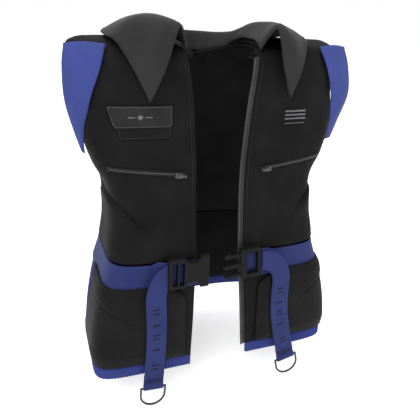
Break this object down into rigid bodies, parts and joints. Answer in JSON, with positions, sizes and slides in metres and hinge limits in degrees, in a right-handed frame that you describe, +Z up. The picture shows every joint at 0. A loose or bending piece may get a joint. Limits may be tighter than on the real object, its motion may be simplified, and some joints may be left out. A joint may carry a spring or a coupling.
{
  "type": "buoyancy vest",
  "caption": "Sleeveless flotation vest with open front, spread collar, cap sleeves, chest zips, flap pocket, ribbed hem and an undone waist buckle with D-ring strap tails.",
  "frame": {"origin": "centre of the neck opening, at the height of the shoulder seams", "axes": "+Z up, the chest faces -Y, +X is the wearer's left"},
  "size_m": [0.4628, 0.272, 0.6278],
  "materials": {
    "shell_fabric": "matt black woven nylon",
    "lining_fabric": "matt black lining",
    "flotation_foam": "closed-cell foam sheet",
    "rib_knit": "blue ribbed knit",
    "blue_webbing": "blue woven webbing",
    "cap_fabric": "blue twill",
    "zip_tape": "grey knitted zip tape",
    "zip_teeth": "satin nylon coil",
    "zip_slider_metal": "gunmetal enamel",
    "buckle_plastic": "dark grey moulded acetal",
    "ring_steel": "brushed stainless steel"
  },
  "bodies": {
    "vest": {"front_shell_right": "shell_fabric", "front_shell_left": "shell_fabric", "front_lining_right": "lining_fabric", "front_lining_left": "lining_fabric", "flotation_foam_right": "flotation_foam", "flotation_foam_left": "flotation_foam", "back_shell": "shell_fabric", "back_lining": "lining_fabric", "flotation_foam_back": "flotation_foam", "skirt_right": "shell_fabric", "skirt_left": "shell_fabric", "side_rib_right": "rib_knit", "side_rib_left": "rib_knit", "hem_rib_right": "rib_knit", "hem_rib_left": "rib_knit", "skirt_back": "shell_fabric", "hem_rib_back": "rib_knit", "waist_belt": "blue_webbing", "zip_tape_left": "zip_tape", "zip_teeth_left": "zip_teeth", "zip_pin": "zip_teeth", "zip_tape_right": "zip_tape", "zip_teeth_right": "zip_teeth", "zip_box": "zip_teeth", "skirt_pocket_right": "shell_fabric", "skirt_pocket_left": "shell_fabric", "chest_zip_tape_right": "zip_tape", "chest_zip_tape_left": "zip_tape", "chest_zip_coil_right": "zip_teeth", "chest_zip_coil_left": "zip_teeth", "chest_pocket": "shell_fabric", "collar_stand": "shell_fabric", "collar_leaf": "shell_fabric", "cap_sleeve_right": "cap_fabric", "cap_sleeve_left": "cap_fabric", "hang_loop": "shell_fabric", "buckle_socket": "buckle_plastic", "buckle_plug": "buckle_plastic", "belt_end_right": "blue_webbing", "belt_end_left": "blue_webbing", "strap_turn_right": "blue_webbing", "strap_turn_left": "blue_webbing", "rear_ring_tab": "blue_webbing"},
    "pocket_flap": {"chest_pocket_flap": "shell_fabric"},
    "chest_slider_right": {"chest_zip_slider_right": "zip_slider_metal"},
    "chest_pull_right": {"chest_zip_pull_right": "zip_slider_metal"},
    "chest_slider_left": {"chest_zip_slider_left": "zip_slider_metal"},
    "chest_pull_left": {"chest_zip_pull_left": "zip_slider_metal"},
    "main_slider": {"zip_slider": "zip_slider_metal"},
    "main_pull": {"zip_pull": "zip_slider_metal"},
    "tail_right": {"strap_tail_right": "blue_webbing"},
    "ring_right": {"d_ring_right": "ring_steel"},
    "tail_left": {"strap_tail_left": "blue_webbing"},
    "ring_left": {"d_ring_left": "ring_steel"},
    "ring_rear": {"d_ring_rear": "ring_steel"},
    "prong_upper": {"buckle_prong_upper": "buckle_plastic"},
    "prong_lower": {"buckle_prong_lower": "buckle_plastic"}
  },
  "joints": [
    {"name": "flap_open", "type": "hinge", "parent": "vest", "child": "pocket_flap", "pos_m": [-0.083, -0.0902, -0.072], "axis": [-0.9948, 0.1021, 0], "range_deg": [0, 130]},
    {"name": "chest_zip_right", "type": "slide", "parent": "vest", "child": "chest_slider_right", "axis": [-0.9909, 0.0623, 0.1196], "range_m": [0, 0.0656]},
    {"name": "chest_pull_right_turn", "type": "hinge", "parent": "chest_slider_right", "child": "chest_pull_right", "pos_m": [-0.07558, -0.10495, -0.17398], "axis": [-0.1198, 0, -0.9928], "range_deg": [0, 175]},
    {"name": "chest_zip_left", "type": "slide", "parent": "vest", "child": "chest_slider_left", "axis": [0.9909, 0.0623, 0.1196], "range_m": [0, 0.0656]},
    {"name": "chest_pull_left_turn", "type": "hinge", "parent": "chest_slider_left", "child": "chest_pull_left", "pos_m": [0.07558, -0.10495, -0.17398], "axis": [-0.1198, 0, 0.9928], "range_deg": [0, 175]},
    {"name": "front_zip", "type": "slide", "parent": "vest", "child": "main_slider", "axis": [0.0434, 0.0595, 0.9973], "range_m": [0, 0.1083]},
    {"name": "front_pull_turn", "type": "hinge", "parent": "main_slider", "child": "main_pull", "pos_m": [-0.05361, -0.10384, -0.47855], "axis": [0.9991, 0, -0.0434], "range_deg": [0, 170]},
    {"name": "strap_right_swing", "type": "hinge", "parent": "vest", "child": "tail_right", "pos_m": [-0.1185, -0.134, -0.366], "axis": [-1, 0, 0], "range_deg": [0, 60]},
    {"name": "ring_right_swing", "type": "hinge", "parent": "tail_right", "child": "ring_right", "pos_m": [-0.12468, -0.13896, -0.5406], "axis": [-0.9978, 0.0019, 0.0668], "range_deg": [-80, 140]},
    {"name": "strap_left_swing", "type": "hinge", "parent": "vest", "child": "tail_left", "pos_m": [0.104, -0.134, -0.366], "axis": [-1, 0, 0], "range_deg": [0, 60]},
    {"name": "ring_left_swing", "type": "hinge", "parent": "tail_left", "child": "ring_left", "pos_m": [0.12959, -0.1389, -0.53855], "axis": [-0.9757, -0.0062, -0.219], "range_deg": [-80, 140]},
    {"name": "ring_rear_swing", "type": "hinge", "parent": "vest", "child": "ring_rear", "pos_m": [0, 0.1252, -0.503], "axis": [1, 0, 0], "range_deg": [-6, 140]},
    {"name": "prong_upper_flex", "type": "hinge", "parent": "vest", "child": "prong_upper", "pos_m": [0.02744, -0.131, -0.30876], "axis": [0, -1, 0], "range_deg": [0, 6], "stiffness_Nm_per_rad": 0.5},
    {"name": "prong_lower_flex", "type": "hinge", "parent": "vest", "child": "prong_lower", "pos_m": [0.03066, -0.131, -0.34562], "axis": [0, 1, 0], "range_deg": [0, 6], "stiffness_Nm_per_rad": 0.5}
  ]
}
